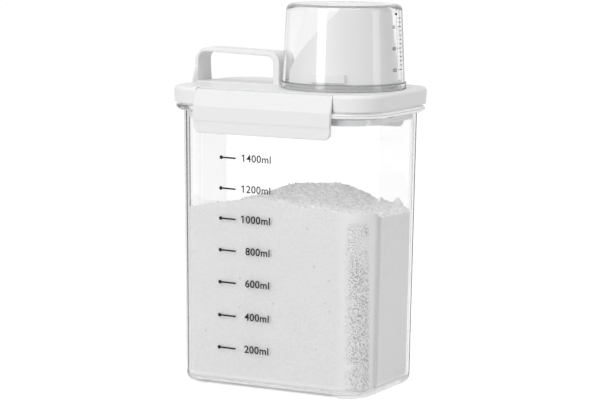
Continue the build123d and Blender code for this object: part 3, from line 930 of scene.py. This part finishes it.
# %% Flat shapes to print
ONE_QUAD = [(0, 1, 2, 3)]
FLAG_REACH = 0.95 * MM
FLAG_ROOT = 0.9 * MM
FLAG_TIP = (0.65 * MM, 1.45 * MM)


def lettering(text, size, widen, align="RIGHT", spacing=1.0, bold=0.0):
    """Flat mesh of some text: points as (across, up) and faces."""
    curve = bpy.data.curves.new("lettering", "FONT")
    curve.body = text
    curve.size = size
    curve.align_x = align
    curve.space_character = spacing
    curve.offset = bold
    holder = bpy.data.objects.new("lettering", curve)
    bpy.context.scene.collection.objects.link(holder)
    bpy.context.view_layer.update()
    mesh = bpy.data.meshes.new_from_object(holder.evaluated_get(bpy.context.evaluated_depsgraph_get()))
    points = [(v.co.x * widen, v.co.y) for v in mesh.vertices]
    faces = [tuple(p.vertices) for p in mesh.polygons]
    bpy.data.objects.remove(holder)
    bpy.data.meshes.remove(mesh)
    return points, faces


def one_flag(points):
    """The slanted stroke at the top of a leading 1."""
    left = min(x for x, y in points)
    top = max(y for x, y in points if x < left + 1 * MM)
    return [(left, top - FLAG_ROOT), (left, top), (left - FLAG_REACH, top - FLAG_TIP[0]),
            (left - FLAG_REACH, top - FLAG_TIP[1])], ONE_QUAD


def bar(x0, y0, x1, y1):
    """A printed bar between two corners."""
    return [(x0, y0), (x1, y0), (x1, y1), (x0, y1)], ONE_QUAD


def dot(x, y, radius, sides=20):
    """A printed dot."""
    ring = [(x + radius * math.cos(2 * math.pi * i / sides),
             y + radius * math.sin(2 * math.pi * i / sides)) for i in range(sides)]
    return ring, [tuple(range(sides))]


def shifted(shape, x, y):
    """A shape moved across and up."""
    return [(a + x, b + y) for a, b in shape[0]], shape[1]


print("shapes to print: lettering, one_flag, bar, dot")

# %% [markdown]
# All flat shapes of one scale become one mesh. It is thickened while it is still flat, and
# only then bent onto the wall, by a function that says where a point across, up and out lands.
# Blender thickens faces in a chance order, so corners, edges and faces are sorted afterwards,
# to get the same mesh each time.

# %% Film of ink
INK_LIFT = 0.02 * MM
INK_THICKNESS = 0.04 * MM


def settle(elements, key):
    """Sorts the corners, edges or faces of a mesh under construction."""
    for rank, element in enumerate(sorted(elements, key=key)):
        element.index = rank
    elements.sort()


def ink_film(name, shapes, onto, body):
    """Raises flat shapes into a thin film on a surface. onto(across, up, out) gives the place."""
    build = bmesh.new()
    for points, faces in shapes:
        corners = [build.verts.new((x, y, 0)) for x, y in points]
        for face in faces:
            build.faces.new([corners[i] for i in face])
    bmesh.ops.remove_doubles(build, verts=build.verts, dist=1e-7)
    bmesh.ops.recalc_face_normals(build, faces=build.faces)
    for face in build.faces:
        if face.normal.z < 0:
            face.normal_flip()
    grown = bmesh.ops.extrude_face_region(build, geom=list(build.faces))
    for item in grown["geom"]:
        if isinstance(item, bmesh.types.BMVert):
            item.co.z = INK_THICKNESS
    bmesh.ops.recalc_face_normals(build, faces=build.faces)
    settle(build.verts, lambda vertex: tuple(vertex.co))
    for elements in (build.edges, build.faces):
        settle(elements, lambda element: sorted(vertex.index for vertex in element.verts))
    for vertex in build.verts:
        vertex.co = onto(vertex.co.x, vertex.co.y, vertex.co.z + INK_LIFT)
    mesh = bpy.data.meshes.new(name)
    build.to_mesh(mesh)
    build.free()
    return add_piece(mesh, ink_finish, body)


print("ink", INK_THICKNESS / MM, "mm thick")

# %% [markdown]
# The front wall leans out by the draft angle, and the print leans with it. The dots keep to the
# wall's left edge, which also leans, so they drift a little with the height. The figures above
# the powder are printed thinner than those in front of it.

# %% Marks and figures on the box
MARK_HEIGHTS = {200: 25.35, 400: 45.85, 600: 66.8, 800: 87.0, 1000: 106.9, 1200: 125.8, 1400: 145.0}
DOT_X = -33.4 * MM
DOT_RADIUS = 1.2 * MM
DOT_DRIFT = 0.0125
TICK_END = -21.4 * MM
TICK_FALL = 0.15 * MM
TICK_HALF = 0.5 * MM
FIGURES_END = 1.8 * MM
FIGURE_SIZE = 6.5 * MM
FIGURE_DROP = 1.9 * MM
FLAG_FROM = 1000
BOLD = 0.11 * MM
THIN_BOLD = 0.05 * MM
THIN_FROM = 1200
OUTER_HALF_WIDTH = 42.5 * MM


def onto_front(across, up, out):
    """A place on the front wall."""
    return Vector((across, -(OUTER_HALF_WIDTH + up * WALL_SLOPE + out), up))


shapes = []
for volume, height in MARK_HEIGHTS.items():
    z = height * MM
    x = DOT_X + DOT_DRIFT * z
    start, low = x + DOT_RADIUS, z - TICK_FALL
    tick = [(start, z - TICK_HALF), (TICK_END, low - TICK_HALF), (TICK_END, low + TICK_HALF),
            (start, z + TICK_HALF)]
    shapes += [dot(x, z, DOT_RADIUS), (tick, ONE_QUAD)]
    bold = THIN_BOLD if volume >= THIN_FROM else BOLD
    figures = lettering(f"{volume}ml", FIGURE_SIZE, 1.02, spacing=1.07, bold=bold)
    strokes = [figures, one_flag(figures[0])] if volume >= FLAG_FROM else [figures]
    shapes += [shifted(stroke, FIGURES_END + DOT_DRIFT * z, z - FIGURE_DROP) for stroke in strokes]
ink_film("scale_print", shapes, onto_front, "container")

# %% [markdown]
# ## Scale on the cup
# The cup stands upside down, so its scale reads from its closed end: a line every 10 ml, and
# a figure every 50 ml, upside down as well. It is wrapped round the cup's cone by turning
# the distance across into an angle. A small flat dot marks the start of the scale.

# %% Marks and figures on the cup
SPOUT_X = 30 * MM
CUP_FLANGE_TOP = 192.2 * MM
CUP_TOP = 240.2 * MM
CUP_RADIUS_LOW = 38.0 * MM
CUP_RADIUS_HIGH = 35.7 * MM
CUP_SCALE_TOP = 240.0 * MM
CUP_TICK_GAP = 2.62 * MM
CUP_TICK_HALF = 0.24 * MM
CUP_TICK_END = 6.4 * MM
LONG_TICK_START = 1.4 * MM
SHORT_TICK_START = 3.4 * MM
CUP_FIGURES = -3.9 * MM
CUP_FIGURE_SIZE = 2.9 * MM
CUP_FIGURE_RISE = 1.0 * MM
CUP_FIGURE_BOLD = 0.03 * MM
CUP_DOT_RADIUS = 0.85 * MM
CUP_DOT_STRETCH = 1.6
CUP_DOT_X = -1.0 * MM
CUP_DOT_Z = 234.8 * MM


def onto_cup(across, up, out):
    """A place on the cup's cone."""
    share = (up - CUP_FLANGE_TOP) / (CUP_TOP - CUP_FLANGE_TOP)
    radius = CUP_RADIUS_LOW + (CUP_RADIUS_HIGH - CUP_RADIUS_LOW) * share
    angle = across / radius
    return Vector((SPOUT_X + (radius + out) * math.cos(angle), (radius + out) * math.sin(angle), up))


round_dot, dot_faces = dot(0, 0, CUP_DOT_RADIUS)
shapes = [([(x * CUP_DOT_STRETCH + CUP_DOT_X, y + CUP_DOT_Z) for x, y in round_dot], dot_faces)]
for tick in range(3, 16):
    z = CUP_SCALE_TOP - tick * CUP_TICK_GAP
    long_one = tick % 5 == 0
    start = LONG_TICK_START if long_one else SHORT_TICK_START
    shapes.append(bar(start, z - CUP_TICK_HALF, CUP_TICK_END, z + CUP_TICK_HALF))
    if long_one:
        points, faces = lettering(str(tick * 10), CUP_FIGURE_SIZE, 1.05, "CENTER", bold=CUP_FIGURE_BOLD)
        shapes.append(([(-x + CUP_FIGURES, z + CUP_FIGURE_RISE - y) for x, y in points], faces))
ink_film("cup_scale_print", shapes, onto_cup, "measuring_cup")
